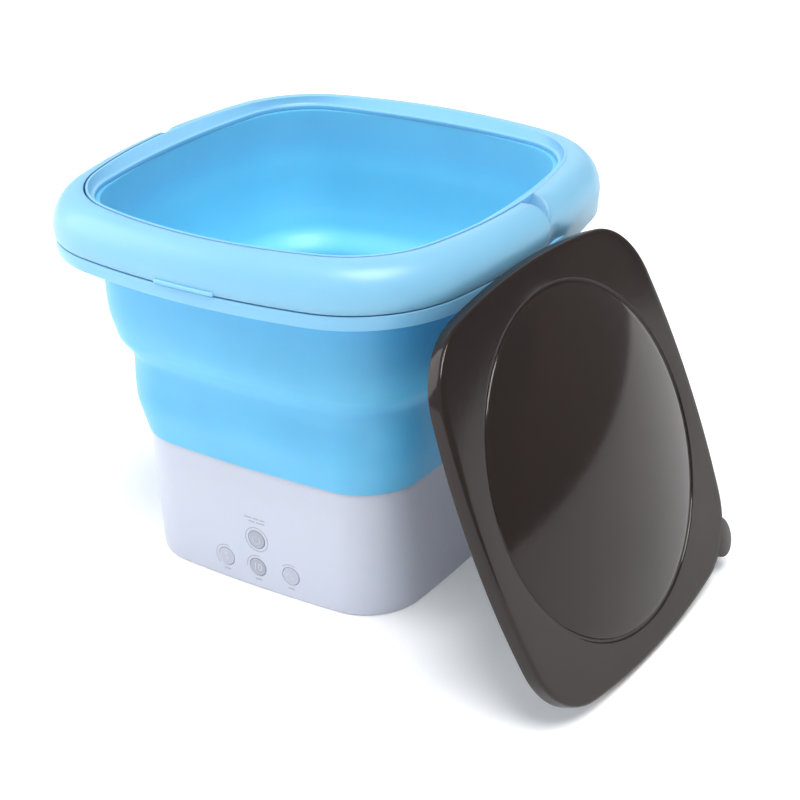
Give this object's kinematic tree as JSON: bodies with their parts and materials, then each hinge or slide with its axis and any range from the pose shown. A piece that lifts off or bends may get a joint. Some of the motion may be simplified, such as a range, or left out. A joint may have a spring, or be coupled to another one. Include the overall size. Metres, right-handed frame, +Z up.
{
  "type": "portable mini washer",
  "caption": "Portable mini washer: white motor base, collapsible soft blue tub, rounded-square rim with a swinging bail handle, and a smoked domed lid leaning beside it.",
  "frame": {"origin": "on the tub's vertical axis, at the level of the surface that the base stands on", "axes": "+Z up along the tub's axis, -Y out of the key panel on the front, +X towards the side where the lid leans"},
  "size_m": [0.3854, 0.2947, 0.2433],
  "materials": {
    "base_abs": "moulded white ABS with a slight lavender cast, fine satin surface",
    "tub_tpe": "soft sky-blue thermoplastic elastomer, satin",
    "rim_pp": "moulded light-blue polypropylene, satin",
    "handle_pp": "moulded light-blue polypropylene, satin",
    "lid_smoked": "smoked translucent polycarbonate, glossy",
    "floor_pp": "moulded white polypropylene, satin",
    "pulsator_pp": "moulded white polypropylene, satin",
    "key_grey": "printed grey key caps",
    "foot_rubber": "dark grey moulded rubber",
    "seal_rubber": "black nitrile rubber",
    "steel_zinc": "zinc-plated steel",
    "steel_shaft": "ground stainless steel",
    "bronze_bush": "oil-filled sintered bronze",
    "gear_acetal": "moulded natural acetal",
    "motor_can": "deep-drawn zinc-plated can",
    "board_laminate": "green solder-masked glass-epoxy laminate",
    "component_black": "moulded black epoxy",
    "inlet_black": "moulded black nylon",
    "pin_pp": "moulded light-blue acetal pins"
  },
  "bodies": {
    "base": {"base_housing": "base_abs", "bottom_cover": "base_abs", "rubber_feet": "foot_rubber", "cover_screws": "steel_zinc", "lower_tub_wall": "tub_tpe", "shoulder_fold": "tub_tpe", "tub_floor": "floor_pp", "floor_screws": "steel_zinc", "shaft_bushes": "bronze_bush", "shaft_seal": "seal_rubber", "motor": "motor_can", "gear_plate": "steel_zinc", "plate_screws": "steel_zinc", "motor_screws": "steel_zinc", "control_board": "board_laminate", "board_components": "component_black", "board_screws": "steel_zinc", "power_inlet": "inlet_black", "inlet_nut": "steel_zinc", "motor_leads": "component_black", "inlet_leads": "component_black"},
    "rim": {"rim_ring": "rim_pp", "upper_tub_wall": "tub_tpe", "handle_pins": "pin_pp"},
    "handle": {"handle": "handle_pp"},
    "pulsator": {"pulsator": "pulsator_pp", "pulsator_screw": "steel_zinc", "pulsator_cap": "rim_pp", "output_shaft": "steel_shaft", "shaft_circlip": "steel_zinc", "drive_gear": "gear_acetal"},
    "motor_rotor": {"motor_pinion": "gear_acetal", "motor_shaft": "steel_shaft"},
    "lid": {"lid": "lid_smoked"},
    "power_key": {"power_key": "key_grey"},
    "five_key": {"five_key": "key_grey"},
    "ten_key": {"ten_key": "key_grey"},
    "mode_key": {"mode_key": "key_grey"}
  },
  "joints": [
    {"name": "collapse", "type": "slide", "parent": "base", "child": "rim", "axis": [0, 0, -1], "range_m": [0, 0.09], "deforming": ["shoulder_fold"]},
    {"name": "handle_swing", "type": "hinge", "parent": "rim", "child": "handle", "pos_m": [0, -0.001, 0.2305], "axis": [-1, 0, 0], "range_deg": [0, 100]},
    {"name": "pulsator_spin", "type": "hinge", "parent": "base", "child": "pulsator", "pos_m": [0, 0, 0.1], "axis": [0, 0, 1], "continuous": true},
    {"name": "motor_spin", "type": "hinge", "parent": "base", "child": "motor_rotor", "pos_m": [0.03785, 0, 0.05], "axis": [0, 0, 1], "continuous": true},
    {"name": "lid_lift_off", "type": "slide", "parent": "base", "child": "lid", "axis": [0, 0, 1], "range_m": [0, 0.3]},
    {"name": "power_press", "type": "slide", "parent": "base", "child": "power_key", "axis": [0, 1, 0], "range_m": [0, 0.0006], "stiffness_N_per_m": 500},
    {"name": "five_press", "type": "slide", "parent": "base", "child": "five_key", "axis": [0, 1, 0], "range_m": [0, 0.0006], "stiffness_N_per_m": 500},
    {"name": "ten_press", "type": "slide", "parent": "base", "child": "ten_key", "axis": [0, 1, 0], "range_m": [0, 0.0006], "stiffness_N_per_m": 500},
    {"name": "mode_press", "type": "slide", "parent": "base", "child": "mode_key", "axis": [0, 1, 0], "range_m": [0, 0.0006], "stiffness_N_per_m": 500}
  ],
  "couplings": [
    {"joint": "motor_spin", "follows": "pulsator_spin", "ratio": -4}
  ]
}
